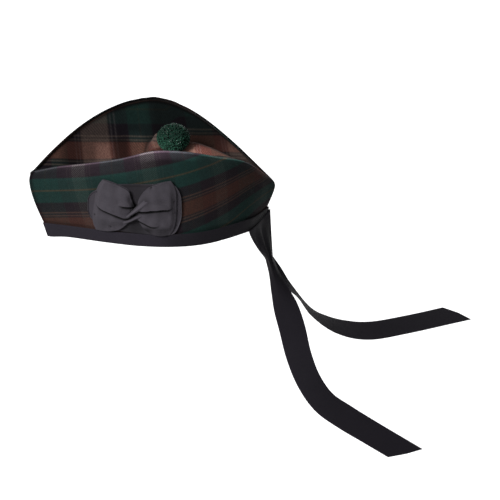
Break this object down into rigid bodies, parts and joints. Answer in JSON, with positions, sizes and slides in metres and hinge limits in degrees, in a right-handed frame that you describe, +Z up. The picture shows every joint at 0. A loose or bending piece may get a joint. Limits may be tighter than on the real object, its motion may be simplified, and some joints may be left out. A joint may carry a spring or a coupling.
{
  "type": "glengarry",
  "caption": "Soft tartan cap folded lengthwise, with a bound rim, a wool pompom, a side bow cockade and two ribbon tails hanging at the back.",
  "frame": {"origin": "the middle of the rim's opening, level with its lower edge, where the cap sits on a head", "axes": "+Z up, -X to the front of the cap, -Y to the wearer's left side with the cockade, +X to the ribbon tails at the back"},
  "size_m": [0.472, 0.1429, 0.3883],
  "materials": {
    "tartan": "woven wool twill in dark green, navy and rust checks, matte",
    "black_ribbon": "fine ribbed ribbon, black, low sheen",
    "charcoal_ribbon": "fine ribbed ribbon, charcoal, low sheen",
    "green_wool": "cut wool yarn, matte, fuzzy"
  },
  "bodies": {
    "root": {"side_left": "tartan", "side_right": "tartan", "crown": "tartan", "rim_binding": "black_ribbon", "cockade_base": "charcoal_ribbon", "bow_left_loop": "charcoal_ribbon", "bow_right_loop": "charcoal_ribbon", "bow_centre_fold": "charcoal_ribbon", "pompom": "green_wool", "ribbon_tail_left": "black_ribbon", "ribbon_tail_right": "black_ribbon"}
  },
  "joints": []
}
